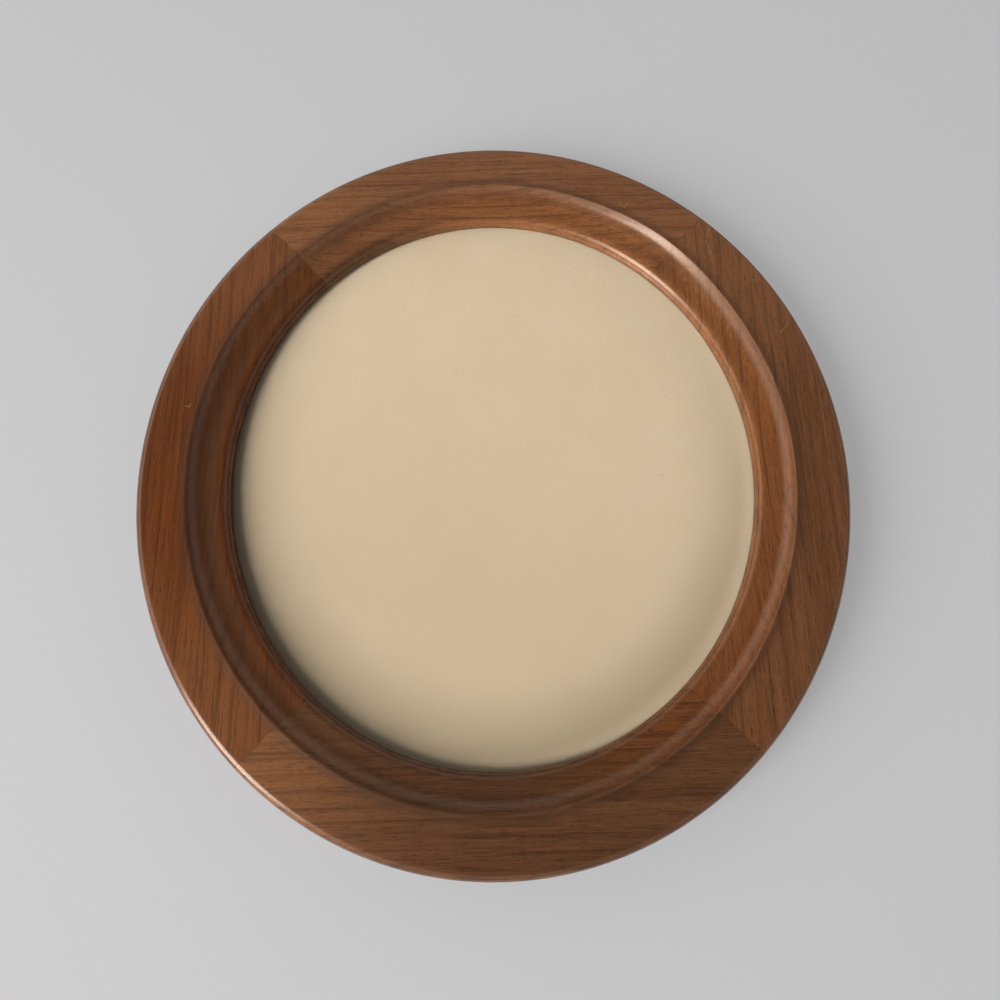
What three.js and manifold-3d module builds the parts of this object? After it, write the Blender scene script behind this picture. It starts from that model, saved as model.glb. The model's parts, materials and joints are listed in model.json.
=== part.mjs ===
// Oval walnut picture frame, lying on its back with the picture facing up.
// Sizes are in millimetres. +Z points out of the picture, +Y to its top and +X to its right.
// The origin is under the middle of the oval, on the surface that the bumpers stand on.
import * as THREE from "three";
import { ParametricGeometry } from "three/addons/geometries/ParametricGeometry.js";
import { mergeVertices } from "three/addons/utils/BufferGeometryUtils.js";
import Module from "manifold-3d";

const wasm = await Module();
wasm.setup();

// Sight opening and moulding: widths run outwards from the sight edge, rises up from the lip's underside
const SIGHT_WIDTH = 279.4;
const SIGHT_HEIGHT = 304.8;
const RAIL_WIDTH = 47;
const LIP_EDGE = 1.5;
const BEAD_WIDTH = 5.2;
const BEAD_RISE = 5.3;
const SHELF_WIDTH = 2.6;
const COVE_WIDTH = 11.5;
const COVE_RISE = 6.2;
const RIM_FALL = 0.5;
const ROUND_OVER = 4.5;
const BACK_ARRIS = 1.5;
const REBATE_WIDTH = 7;

// Mitres: each runs at 45 degrees and crosses the upright axis this far from the middle
const MITRE_OFFSET = 22;
const GLUE_LINE = 0.3;
const SPLINE_LENGTH = 26;
const SPLINE_WIDTH = 24;
const SPLINE_THICKNESS = 4;
const SPLINE_GAP = 0.2;

// Glass, card and backing in the rebate
const GLASS_THICKNESS = 2;
const CARD_THICKNESS = 1.2;
const BACKING_THICKNESS = 3;
const PANEL_CLEARANCE = 1;
const SEAT_GAP = 0.3;

// Screws, with slotted domed heads
const SHANK_DIAMETER = 3.2;
const HEAD_DIAMETER = 7;
const HEAD_HEIGHT = 2;
const SCREW_BITE = 11;
const SCREW_POINT = 3;
const SLOT_WIDTH = 1;
const SLOT_DEPTH = 0.9;
const PILOT_GAP = 0.2;

// Turn buttons, each on one screw
const BUTTON_REACH = 20;
const BUTTON_PIVOT_RADIUS = 6;
const BUTTON_TIP_RADIUS = 4.5;
const BUTTON_THICKNESS = 1.6;
const BUTTON_INSET = 10;
const RUNNING_GAP = 0.25;
const HARDWARE_SPACE = 8;

// Ring hanger on the top rail
const PLATE_LENGTH = 44;
const PLATE_WIDTH = 11;
const PLATE_THICKNESS = 1.2;
const PLATE_INSET = 4;
const PLATE_SCREW_SPACING = 30;
const BARREL_LENGTH = 10;
const BARREL_WALL = 1;
const RING_WIRE = 2.5;
const RING_WIDTH = 18;
const RING_HEIGHT = 17;
const RING_CORNER = 3;

// Rubber bumpers
const BUMPER_DIAMETER = 13;
const BUMPER_FOOT = 10;
const BUMPER_HEIGHT = 6;
const BUMPER_EDGE = 8;
const ADHESIVE = 0.2;

// How finely curves are divided
const OVAL_STEPS = 96;
const ARC_STEPS = 4;
const COVE_STEPS = 6;
const ARRIS_STEPS = 3;
const ROUND_STEPS = 12;
const BEND_STEPS = 6;
const WIRE_SIDES = 8;

// Levels and lengths that follow from the sizes above
const STEP_WIDTH = BEAD_WIDTH + SHELF_WIDTH + COVE_WIDTH;
const STEP_RISE = LIP_EDGE + BEAD_RISE + COVE_RISE;
const REBATE_DEPTH = GLASS_THICKNESS + CARD_THICKNESS + BACKING_THICKNESS + 3 * SEAT_GAP;
const BACK_LEVEL = BUMPER_HEIGHT + ADHESIVE;
const LIP_LEVEL = BACK_LEVEL + REBATE_DEPTH;
const BARREL_RADIUS = RING_WIRE / 2 + SEAT_GAP + BARREL_WALL;
const FAR = SIGHT_WIDTH + SIGHT_HEIGHT + RAIL_WIDTH;

// A point of the curve that runs parallel to the oval sight edge, at a distance outside it
function ovalPoint(angle, distance) {
  const halfWidth = SIGHT_WIDTH / 2;
  const halfHeight = SIGHT_HEIGHT / 2;
  const outward = ovalNormal(angle);
  return new THREE.Vector2(
    halfWidth * Math.cos(angle) + distance * outward.x,
    halfHeight * Math.sin(angle) + distance * outward.y,
  );
}

// The outward direction of the oval at the same angle
function ovalNormal(angle) {
  const across = (SIGHT_HEIGHT / 2) * Math.cos(angle);
  const along = (SIGHT_WIDTH / 2) * Math.sin(angle);
  return new THREE.Vector2(across, along).normalize();
}

// The angle in the upper right quarter at which a rising function of the angle passes through zero
function angleWhere(rising) {
  let low = 0;
  let high = Math.PI / 2;
  for (let halving = 0; halving < 50; halving++) {
    const middle = (low + high) / 2;
    if (rising(middle) < 0) low = middle;
    else high = middle;
  }
  return (low + high) / 2;
}

// A closed geometry as a solid that can be joined and cut
function solidOf(geometry) {
  const bare = geometry.clone();
  bare.deleteAttribute("normal");
  bare.deleteAttribute("uv");
  const merged = mergeVertices(bare);
  return new wasm.Manifold(
    new wasm.Mesh({
      numProp: 3,
      vertProperties: new Float32Array(merged.attributes.position.array),
      triVerts: new Uint32Array(merged.index.array),
    }),
  );
}

// A solid back as a geometry
function geometryOf(solid) {
  const { vertProperties, triVerts } = solid.getMesh();
  const geometry = new THREE.BufferGeometry();
  geometry.setAttribute("position", new THREE.BufferAttribute(vertProperties, 3));
  geometry.setIndex(new THREE.BufferAttribute(triVerts, 1));
  geometry.computeVertexNormals();
  return geometry;
}

// A plate of an outline, from a level upwards
function plate(shape, level, thickness) {
  const geometry = new THREE.ExtrudeGeometry(shape, { depth: thickness, bevelEnabled: false });
  return geometry.translate(0, 0, level);
}

// Points of an elliptical arc, without its first point
function arcPoints(x, y, radiusX, radiusY, from, to, steps) {
  return Array.from({ length: steps }, (_, i) => {
    const angle = from + ((to - from) * (i + 1)) / steps;
    return new THREE.Vector2(x + radiusX * Math.cos(angle), y + radiusY * Math.sin(angle));
  });
}

// Section of the moulding: x runs outwards from the sight edge and y is the height, anticlockwise from the
// rebate's inner corner. The cove is a round arc that leaves the shelf level and ends sharply at the step.
function mouldingSection() {
  const quarter = Math.PI / 2;
  const rimEdge = STEP_RISE - RIM_FALL;
  const shelf = LIP_EDGE + BEAD_RISE;
  const coveRadius = (COVE_WIDTH ** 2 + COVE_RISE ** 2) / (2 * COVE_RISE);
  const coveTurn = 2 * Math.atan(COVE_RISE / COVE_WIDTH);
  const points = [
    new THREE.Vector2(REBATE_WIDTH, 0),
    new THREE.Vector2(REBATE_WIDTH, -REBATE_DEPTH),
    new THREE.Vector2(RAIL_WIDTH - BACK_ARRIS, -REBATE_DEPTH),
    ...arcPoints(
      RAIL_WIDTH - BACK_ARRIS,
      BACK_ARRIS - REBATE_DEPTH,
      BACK_ARRIS,
      BACK_ARRIS,
      -quarter,
      0,
      ARRIS_STEPS,
    ),
    new THREE.Vector2(RAIL_WIDTH, rimEdge - ROUND_OVER),
    ...arcPoints(
      RAIL_WIDTH - ROUND_OVER,
      rimEdge - ROUND_OVER,
      ROUND_OVER,
      ROUND_OVER,
      0,
      quarter,
      ARC_STEPS,
    ),
    new THREE.Vector2(STEP_WIDTH, STEP_RISE),
    ...arcPoints(
      BEAD_WIDTH + SHELF_WIDTH,
      shelf + coveRadius,
      coveRadius,
      coveRadius,
      coveTurn - quarter,
      -quarter,
      COVE_STEPS,
    ),
    new THREE.Vector2(BEAD_WIDTH, shelf),
    ...arcPoints(BEAD_WIDTH, LIP_EDGE, BEAD_WIDTH, BEAD_RISE, quarter, 2 * quarter, ARC_STEPS),
    new THREE.Vector2(0, 0),
  ];
  return points.map((point) => point.add(new THREE.Vector2(0, LIP_LEVEL)));
}

// The whole moulded oval, before it is cut into rails
function mouldingRing() {
  const section = mouldingSection();
  const surface = (u, v, target) => {
    const corner = section[Math.round(v * section.length) % section.length];
    const point = ovalPoint(2 * Math.PI * u, corner.x);
    target.set(point.x, point.y, corner.y);
  };
  return solidOf(new ParametricGeometry(surface, OVAL_STEPS, section.length));
}

// The stretch of plan that each rail takes, between two mitres that leave the glue line free
function mitreWedges() {
  const back = GLUE_LINE / Math.SQRT2;
  const apex = MITRE_OFFSET + back;
  const crossRail = (side) => [
    [0, side * apex],
    [FAR, side * (apex + FAR)],
    [-FAR, side * (apex + FAR)],
  ];
  const sideRail = (side) => [
    [side * back, -MITRE_OFFSET],
    [side * back, MITRE_OFFSET],
    [side * (back + FAR), MITRE_OFFSET + FAR],
    [side * (back + FAR), -MITRE_OFFSET - FAR],
  ];
  return {
    rail_top: crossRail(1),
    rail_bottom: crossRail(-1),
    rail_left: sideRail(-1),
    rail_right: sideRail(1),
  };
}

// The four mitres: the middle of each on plan and the direction it runs in
function mitrePlaces() {
  const distance = (REBATE_WIDTH + RAIL_WIDTH) / 2;
  const angle = angleWhere((turn) => {
    const point = ovalPoint(turn, distance);
    return point.y - point.x - MITRE_OFFSET;
  });
  const point = ovalPoint(angle, distance);
  const names = { upper_right: [1, 1], upper_left: [-1, 1], lower_left: [-1, -1], lower_right: [1, -1] };
  return Object.entries(names).map(([name, [sideX, sideY]]) => ({
    name,
    x: sideX * point.x,
    y: sideY * point.y,
    turn: (sideX * sideY * Math.PI) / 4,
  }));
}

// A loose tongue, or with a gap its slot, centred in the thickness at the level of the lip
function tongue(gap) {
  return new THREE.BoxGeometry(
    SPLINE_LENGTH + 2 * gap,
    SPLINE_WIDTH + 2 * gap,
    SPLINE_THICKNESS + 2 * gap,
  );
}

// Places on the backs of the rails: the point on plan and the outward direction there
function railPlace(sideX, sideY, x, distance) {
  const angle = angleWhere((turn) => x - ovalPoint(turn, distance).x);
  const point = ovalPoint(angle, distance);
  const outward = ovalNormal(angle);
  return {
    x: sideX * point.x,
    y: sideY * point.y,
    outward: Math.atan2(sideY * outward.y, sideX * outward.x),
  };
}

// Turn buttons stand either side of the hanger, in the same places below, and midway up the sides
function buttonPlaces() {
  const distance = REBATE_WIDTH + BUTTON_INSET;
  const x = PLATE_LENGTH / 2 + HARDWARE_SPACE + BUTTON_REACH;
  const sideX = SIGHT_WIDTH / 2 + distance;
  return {
    turn_button_top_left: railPlace(-1, 1, x, distance),
    turn_button_top_right: railPlace(1, 1, x, distance),
    turn_button_left: { x: -sideX, y: 0, outward: Math.PI },
    turn_button_right: { x: sideX, y: 0, outward: 0 },
    turn_button_bottom_left: railPlace(-1, -1, x, distance),
    turn_button_bottom_right: railPlace(1, -1, x, distance),
  };
}

// Bumpers stand beyond the swing of the buttons on the top and bottom rails
function bumperPlaces() {
  const distance = RAIL_WIDTH - BUMPER_EDGE - BUMPER_DIAMETER / 2;
  const x = PLATE_LENGTH / 2 + 2 * HARDWARE_SPACE + 2 * BUTTON_REACH + BUMPER_DIAMETER / 2;
  return {
    bumper_top_left: railPlace(-1, 1, x, distance),
    bumper_top_right: railPlace(1, 1, x, distance),
    bumper_bottom_left: railPlace(-1, -1, x, distance),
    bumper_bottom_right: railPlace(1, -1, x, distance),
  };
}

// A screw with its head's seat at zero, the slotted head below it and the point above
function screwGeometry(grip) {
  const shank = SHANK_DIAMETER / 2;
  const head = HEAD_DIAMETER / 2;
  const tip = grip + SCREW_BITE;
  const dome = arcPoints(0, 0, head, HEAD_HEIGHT, -Math.PI / 2, 0, ARC_STEPS);
  const profile = [
    new THREE.Vector2(0, -HEAD_HEIGHT),
    ...dome,
    new THREE.Vector2(shank, 0),
    new THREE.Vector2(shank, tip - SCREW_POINT),
    new THREE.Vector2(0, tip),
  ];
  const turned = new THREE.LatheGeometry(profile, ROUND_STEPS).rotateX(Math.PI / 2);
  const slot = new THREE.BoxGeometry(2 * HEAD_DIAMETER, SLOT_WIDTH, 2 * SLOT_DEPTH);
  slot.translate(0, 0, -HEAD_HEIGHT);
  return geometryOf(solidOf(turned).subtract(solidOf(slot)));
}

// The pilot hole that a screw's shank sits in, in the back of a rail
function pilotHole(place) {
  const depth = SCREW_BITE + PILOT_GAP;
  const hole = new THREE.CylinderGeometry(
    SHANK_DIAMETER / 2 + PILOT_GAP,
    SHANK_DIAMETER / 2 + PILOT_GAP,
    2 * depth,
    ROUND_STEPS,
  );
  return solidOf(hole.rotateX(Math.PI / 2).translate(place.x, place.y, BACK_LEVEL));
}

// A turn button lying along +X from its pivot hole, flat and round at both ends
function buttonGeometry() {
  const tipX = BUTTON_REACH - BUTTON_TIP_RADIUS;
  const lean = Math.acos((BUTTON_PIVOT_RADIUS - BUTTON_TIP_RADIUS) / tipX);
  const outline = new THREE.Shape();
  outline.absarc(0, 0, BUTTON_PIVOT_RADIUS, lean, 2 * Math.PI - lean, false);
  outline.absarc(tipX, 0, BUTTON_TIP_RADIUS, -lean, lean, false);
  const hole = new THREE.Path();
  hole.absarc(0, 0, SHANK_DIAMETER / 2 + RUNNING_GAP, 0, 2 * Math.PI, true);
  outline.holes.push(hole);
  return new THREE.ExtrudeGeometry(outline, {
    depth: BUTTON_THICKNESS,
    bevelEnabled: false,
    curveSegments: BEND_STEPS,
  });
}

// The hanger's plate with its rolled barrel: the plate's upper face is at zero and the barrel runs along X
function hangerPlateGeometry() {
  const halfLength = PLATE_LENGTH / 2;
  const halfWidth = PLATE_WIDTH / 2;
  const outline = new THREE.Shape();
  outline.absarc(halfLength - halfWidth, 0, halfWidth, -Math.PI / 2, Math.PI / 2, false);
  outline.absarc(halfWidth - halfLength, 0, halfWidth, Math.PI / 2, (3 * Math.PI) / 2, false);
  for (const side of [-1, 1]) {
    const hole = new THREE.Path();
    const x = (side * PLATE_SCREW_SPACING) / 2;
    hole.absarc(x, 0, SHANK_DIAMETER / 2 + PILOT_GAP, 0, 2 * Math.PI, true);
    outline.holes.push(hole);
  }
  const flat = new THREE.ExtrudeGeometry(outline, {
    depth: PLATE_THICKNESS,
    bevelEnabled: false,
    curveSegments: BEND_STEPS,
  });
  flat.translate(0, 0, -PLATE_THICKNESS);

  const roll = new THREE.Shape();
  roll.absarc(0, 0, BARREL_RADIUS, 0, 2 * Math.PI, false);
  const bore = new THREE.Path();
  bore.absarc(0, 0, BARREL_RADIUS - BARREL_WALL, 0, 2 * Math.PI, true);
  roll.holes.push(bore);
  const barrel = new THREE.ExtrudeGeometry(roll, {
    depth: BARREL_LENGTH,
    bevelEnabled: false,
    curveSegments: BEND_STEPS,
  });
  barrel.translate(0, 0, -BARREL_LENGTH / 2).rotateY(Math.PI / 2);
  barrel.translate(0, barrelOffset(), -BARREL_RADIUS);
  return geometryOf(solidOf(flat).add(solidOf(barrel)));
}

// How far the barrel's axis lies from the middle of the plate, so that its wall runs on from the plate's edge
function barrelOffset() {
  return PLATE_WIDTH / 2 + BARREL_RADIUS - BARREL_WALL / 2;
}

// The ring: round wire bent to a U that a straight bar closes, with the bar along X at zero and the bow at +Y
function ringGeometry() {
  const half = RING_WIDTH / 2;
  const bow = RING_HEIGHT - half;
  const path = new THREE.Path();
  path.absarc(half - RING_CORNER, RING_CORNER, RING_CORNER, -Math.PI / 2, 0, false);
  path.absarc(0, bow, half, 0, Math.PI / 2, false);
  path.absarc(0, bow, half, Math.PI / 2, Math.PI, false);
  path.absarc(RING_CORNER - half, RING_CORNER, RING_CORNER, Math.PI, (3 * Math.PI) / 2, false);
  const points = path.getPoints(BEND_STEPS / 2);
  const count = points.length;
  const surface = (u, v, target) => {
    const index = Math.round(u * count) % count;
    const before = points[(index + count - 1) % count];
    const after = points[(index + 1) % count];
    const along = after.clone().sub(before).normalize();
    const turn = 2 * Math.PI * v;
    const reach = (RING_WIRE / 2) * Math.cos(turn);
    const point = points[index];
    target.set(point.x + reach * along.y, point.y - reach * along.x, (RING_WIRE / 2) * Math.sin(turn));
  };
  return geometryOf(solidOf(new ParametricGeometry(surface, count, WIRE_SIDES)));
}

// A bumper: a turned rubber foot, widest where it is stuck on and flat underneath
function bumperGeometry() {
  const base = BUMPER_DIAMETER / 2;
  const foot = BUMPER_FOOT / 2;
  const profile = [
    new THREE.Vector2(0, 0),
    new THREE.Vector2(foot, 0),
    ...arcPoints(foot, base - foot, base - foot, base - foot, -Math.PI / 2, 0, ARRIS_STEPS),
    new THREE.Vector2(base, BUMPER_HEIGHT),
    new THREE.Vector2(0, BUMPER_HEIGHT),
  ];
  return new THREE.LatheGeometry(profile, ROUND_STEPS).rotateX(Math.PI / 2);
}

const walnut = new THREE.MeshStandardMaterial({ color: 0x70492f, roughness: 0.45, metalness: 0 });
const beech = new THREE.MeshStandardMaterial({ color: 0xc79a68, roughness: 0.7, metalness: 0 });
const glass = new THREE.MeshStandardMaterial({
  color: 0xeef3ee,
  roughness: 0.03,
  metalness: 0,
  transparent: true,
  opacity: 0.25,
});
const creamCard = new THREE.MeshStandardMaterial({ color: 0xcdb899, roughness: 0.9, metalness: 0 });
const hardboard = new THREE.MeshStandardMaterial({ color: 0x8a6440, roughness: 0.8, metalness: 0 });
const brass = new THREE.MeshStandardMaterial({ color: 0xb08d4f, roughness: 0.35, metalness: 1 });
const rubber = new THREE.MeshStandardMaterial({ color: 0x26241f, roughness: 0.85, metalness: 0 });

const frame = new THREE.Group();

// Adds a named piece to a group
function addPiece(group, name, geometry, material) {
  const mesh = new THREE.Mesh(geometry, material);
  mesh.name = name;
  group.add(mesh);
  return mesh;
}

// Splines in the mitres
const splines = new THREE.Group();
splines.position.z = LIP_LEVEL;
frame.add(splines);
const slots = [];
for (const mitre of mitrePlaces()) {
  const spline = addPiece(splines, "spline_" + mitre.name, tongue(0), beech);
  spline.position.set(mitre.x, mitre.y, 0);
  spline.rotation.z = mitre.turn;
  const slot = tongue(SPLINE_GAP).rotateZ(mitre.turn).translate(mitre.x, mitre.y, LIP_LEVEL);
  slots.push(solidOf(slot));
}

// Turn buttons and the screws they turn on
const buttons = buttonPlaces();
const buttonLevel = BACK_LEVEL - SEAT_GAP - BUTTON_THICKNESS;
for (const [name, place] of Object.entries(buttons)) {
  const fitting = new THREE.Group();
  fitting.position.set(place.x, place.y, buttonLevel);
  fitting.rotation.z = place.outward + Math.PI;
  frame.add(fitting);
  addPiece(fitting, name, buttonGeometry(), brass);
  const screw = addPiece(fitting, name + "_screw", screwGeometry(BACK_LEVEL - buttonLevel), brass);
  screw.position.z = -SEAT_GAP;
}

// Ring hanger
const hanger = new THREE.Group();
const hangerMiddle = SIGHT_HEIGHT / 2 + REBATE_WIDTH + PLATE_INSET + PLATE_WIDTH / 2;
hanger.position.set(0, hangerMiddle, BACK_LEVEL - SEAT_GAP);
frame.add(hanger);
addPiece(hanger, "hanger_plate", hangerPlateGeometry(), brass);
const ring = addPiece(hanger, "hanger_ring", ringGeometry(), brass);
ring.position.set(0, barrelOffset(), -BARREL_RADIUS);
const hangerScrews = {
  hanger_screw_left: { x: -PLATE_SCREW_SPACING / 2, y: hangerMiddle },
  hanger_screw_right: { x: PLATE_SCREW_SPACING / 2, y: hangerMiddle },
};
for (const [name, place] of Object.entries(hangerScrews)) {
  const screw = addPiece(hanger, name, screwGeometry(PLATE_THICKNESS + 2 * SEAT_GAP), brass);
  screw.position.set(place.x, 0, -PLATE_THICKNESS - SEAT_GAP);
}

// Rails, cut from the moulded oval, with the splines' slots and the screws' pilot holes
const cutters = [...slots];
for (const place of [...Object.values(buttons), ...Object.values(hangerScrews)]) {
  cutters.push(pilotHole(place));
}
const oval = mouldingRing();
for (const [name, corners] of Object.entries(mitreWedges())) {
  const outline = new THREE.Shape(corners.map(([x, y]) => new THREE.Vector2(x, y)));
  const wedge = solidOf(plate(outline, 0, LIP_LEVEL + 2 * STEP_RISE));
  const rail = cutters.reduce((solid, cutter) => solid.subtract(cutter), oval.intersect(wedge));
  addPiece(frame, name, geometryOf(rail), walnut);
}

// Glass, card and backing, stacked from the lip down to the backs of the rails
const panels = {
  glass_pane: [GLASS_THICKNESS, glass],
  display_card: [CARD_THICKNESS, creamCard],
  backing_board: [BACKING_THICKNESS, hardboard],
};
let level = LIP_LEVEL;
for (const [name, [thickness, material]] of Object.entries(panels)) {
  level -= SEAT_GAP + thickness;
  const edge = Array.from({ length: OVAL_STEPS }, (_, i) =>
    ovalPoint((2 * Math.PI * i) / OVAL_STEPS, REBATE_WIDTH - PANEL_CLEARANCE),
  );
  addPiece(frame, name, plate(new THREE.Shape(edge), level, thickness), material);
}

// Bumpers
for (const [name, place] of Object.entries(bumperPlaces())) {
  const bumper = addPiece(frame, name, bumperGeometry(), rubber);
  bumper.position.set(place.x, place.y, 0);
}

export default frame;
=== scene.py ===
import json
import math

import bpy
import numpy as np
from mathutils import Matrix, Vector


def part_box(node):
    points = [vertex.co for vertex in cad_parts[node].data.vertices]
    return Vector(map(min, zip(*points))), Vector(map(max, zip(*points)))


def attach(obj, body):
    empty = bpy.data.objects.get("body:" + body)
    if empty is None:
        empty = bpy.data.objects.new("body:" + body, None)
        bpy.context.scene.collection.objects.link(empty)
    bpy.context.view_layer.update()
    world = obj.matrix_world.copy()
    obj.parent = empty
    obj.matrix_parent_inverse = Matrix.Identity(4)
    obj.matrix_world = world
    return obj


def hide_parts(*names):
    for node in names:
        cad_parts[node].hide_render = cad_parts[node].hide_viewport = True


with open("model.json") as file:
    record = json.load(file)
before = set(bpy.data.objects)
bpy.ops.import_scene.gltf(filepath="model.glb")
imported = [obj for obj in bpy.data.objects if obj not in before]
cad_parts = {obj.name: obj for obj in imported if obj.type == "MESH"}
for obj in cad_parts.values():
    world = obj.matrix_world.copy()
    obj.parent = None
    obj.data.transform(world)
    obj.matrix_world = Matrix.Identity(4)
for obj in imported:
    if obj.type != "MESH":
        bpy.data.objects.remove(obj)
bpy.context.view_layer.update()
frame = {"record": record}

# Rails: four lengths of walnut, sawn from straight boards, mitred and glued to an oval and then moulded.
# A bead at the sight edge, a level shelf and a round cove lead up to a sharp step, and a nearly flat rim
# runs out to a rounded edge. The back has a rebate for the panels, slots for tongues and pilot holes.
rail_width = 0.047
lip_edge = 0.0015
bead_width = 0.0052
bead_rise = 0.0053
shelf_width = 0.0026
cove_width = 0.0115
cove_rise = 0.0062
ridge_radius = 0.0012
ridge_corner = ridge_radius * cove_rise / cove_width
ridge_fall = 0.00012
ridge_reach = 0.0025
rim_fall = 0.0005
rim_crowding = 1.8
round_over = 0.0045
back_arris = 0.0015
rebate_width = 0.007
mitre_offset = 0.022
glue_line = 0.0001
wander_right = -0.00115
wander_top = 0.0009
wander_blend = 0.014
bulge = 0.0009
bulge_angle = 0.92
bulge_spread = 0.17
dent = 0.0007
dent_angle = 0.5
dent_spread = 0.2
stain_angle = 0.86
# Angles from the right where colour is painted into the hollow: painted light and shade by the lamp's side,
# painted shade at the upper left, painted fill light in the left cove, a painted redder tone on the lower
# right and painted light on the right shelf
painted_lamp_side_angle = 0.9
upper_left_shade_angle = 2.12
left_cove_light_angle = 3.3
redder_hollow_angle = -0.45
lit_shelf_angle = -0.2
rail_steps = 200
sharp_turn = math.radians(32)

step_width = bead_width + shelf_width + cove_width
step_rise = lip_edge + bead_rise + cove_rise
top_low, top_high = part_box("rail_top")
half_height = top_high.y - rail_width
half_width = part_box("rail_right")[1].x - rail_width
lip_level = top_high.z - step_rise
rebate_depth = lip_level - top_low.z


def arc(centre_x, centre_y, radius_x, radius_y, start, end, steps):
    """Points of an ellipse from one angle to another, in degrees."""
    turn = np.radians(np.linspace(start, end, steps))
    return np.stack([centre_x + radius_x * np.cos(turn), centre_y + radius_y * np.sin(turn)], axis=1)


def line(start, end, steps):
    """Evenly spaced points inside a straight line, without its two ends."""
    share = np.linspace(0, 1, steps + 2)[1:-1, None]
    return np.array(start) * (1 - share) + np.array(end) * share


def rim_line():
    """The rim from its outer edge to the step: a straight rise, and a little more that fades away from the
    ridge as an exponential does. Points crowd towards the ridge as a power of their share of the way."""
    reach = rail_width - round_over - step_width
    distance = (reach - ridge_corner) * np.linspace(1, 0, 40)[1:] ** rim_crowding
    fall = (rim_fall - ridge_fall) * distance / reach + ridge_fall * (1 - np.exp(-distance / ridge_reach))
    return np.stack([step_width + ridge_corner + distance, step_rise - fall], axis=1)


def moulding_section():
    """The rail's section, anticlockwise from the rebate's back corner, as distances out from the sight edge
    and up from the lip: straight lines joined by arcs. The cove is a circle through shelf and step."""
    shelf = lip_edge + bead_rise
    cove_radius = (cove_width ** 2 + cove_rise ** 2) / (2 * cove_rise)
    cove_turn = 2 * math.degrees(math.atan(cove_rise / cove_width))
    cove_start = cove_turn - 90 - math.degrees(ridge_corner / cove_radius)
    cove_foot = bead_width + shelf_width
    ridge_middle = step_width + ridge_corner
    ridge_level = step_rise - ridge_radius
    side_low = back_arris - rebate_depth
    side_high = step_rise - rim_fall - round_over
    return np.concatenate([
        np.array([[rebate_width, -rebate_depth]]),
        line((rebate_width, -rebate_depth), (rail_width - back_arris, -rebate_depth), 8),
        arc(rail_width - back_arris, side_low, back_arris, back_arris, -90, 0, 7),
        line((rail_width, side_low), (rail_width, side_high), 6),
        arc(rail_width - round_over, side_high, round_over, round_over, 0, 90, 18),
        rim_line(),
        arc(ridge_middle, ridge_level, ridge_radius, ridge_radius, 90, 90 + cove_turn, 8)[1:],
        arc(cove_foot, shelf + cove_radius, cove_radius, cove_radius, cove_start, -90, 26)[1:],
        line((cove_foot, shelf), (bead_width, shelf), 5),
        arc(bead_width, lip_edge, bead_width, bead_rise, 90, 180, 22),
        line((0, lip_edge), (0, 0), 2),
        np.array([[0, 0]]),
        line((0, 0), (rebate_width, 0), 4),
        np.array([[rebate_width, 0]]),
        line((rebate_width, 0), (rebate_width, -rebate_depth), 4),
    ])


def oval(angle, outward):
    """Points of the curve parallel to the sight edge: the ellipse, moved along its normal by a distance."""
    across = half_height * np.cos(angle)
    along = half_width * np.sin(angle)
    length = np.hypot(across, along)
    x = half_width * np.cos(angle) + outward * across / length
    y = half_height * np.sin(angle) + outward * along / length
    return x, y


def bell(value, middle, reach):
    """A bell curve: 1 at the middle, and about a third at the reach to both sides of it."""
    return np.exp(-(((value - middle) / reach) ** 2))


def moulded(angle, outward):
    """The oval's parallel curves as the cutter really ran: near the step they wander to one side by a slow
    wave of the angle and two small bells at the upper right, fading out towards the shelf and the rim."""
    inner = np.clip((outward - bead_width - shelf_width) / cove_width, 0, 1)
    outer = np.clip((step_width + wander_blend - outward) / wander_blend, 0, 1)
    weight = np.where(outward < step_width, inner, outer)
    weight = weight ** 2 * (3 - 2 * weight)
    swing = wander_right * np.cos(angle) + wander_top * np.sin(angle)
    bells = bulge * bell(angle, bulge_angle, bulge_spread) - dent * bell(angle, dent_angle, dent_spread)
    return oval(angle, outward + weight * (swing + bells))


def mitre_angle(outward, half, sign, offset):
    """Angle at which each parallel curve meets a mitre line, as a turn from the level axis in that quarter,
    found by halving the quarter forty times for all the distances at once."""
    low = np.zeros_like(outward)
    high = np.full_like(outward, math.pi / 2)
    for halving in range(40):
        middle = (low + high) / 2
        x, y = moulded(half * math.pi + sign * middle, outward)
        below = np.abs(y) - np.abs(x) < offset
        low = np.where(below, middle, low)
        high = np.where(below, high, middle)
    return half * math.pi + sign * middle


def grid_faces(rows, columns, wrap_rows=False, wrap_columns=False):
    """Quads between neighbours of a grid stored row by row. A wrapped direction closes on itself."""
    row = np.arange(rows if wrap_rows else rows - 1)[:, None]
    column = np.arange(columns if wrap_columns else columns - 1)[None, :]
    next_row = (row + 1) % rows
    next_column = (column + 1) % columns
    corners = (
        row * columns + column,
        next_row * columns + column,
        next_row * columns + next_column,
        row * columns + next_column,
    )
    return np.stack(np.broadcast_arrays(*corners), axis=-1).reshape(-1, 4).tolist()


def bar_faces(rows, columns):
    """Quads along a bar whose grid rows are closed outlines, and one face for each of its two ends."""
    first_end = list(range(columns))
    last_end = list(range(columns * rows - 1, columns * (rows - 1) - 1, -1))
    return grid_faces(rows, columns, wrap_columns=True) + [first_end, last_end]


def new_piece(name, points, faces):
    """An object at the origin from points and faces, smooth but for edges that turn sharply."""
    mesh = bpy.data.meshes.new(name)
    mesh.from_pydata(np.asarray(points).reshape(-1, 3).tolist(), [], faces)
    mesh.shade_smooth()
    mesh.set_sharp_from_angle(angle=sharp_turn)
    piece = bpy.data.objects.new(name, mesh)
    bpy.context.scene.collection.objects.link(piece)
    return piece


def give_attribute(piece, name, values):
    """A number at each point of a piece that its material can read."""
    layer = piece.data.attributes.new(name, "FLOAT", "POINT")
    layer.data.foreach_set("value", np.asarray(values, dtype=np.float32).ravel())


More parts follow.
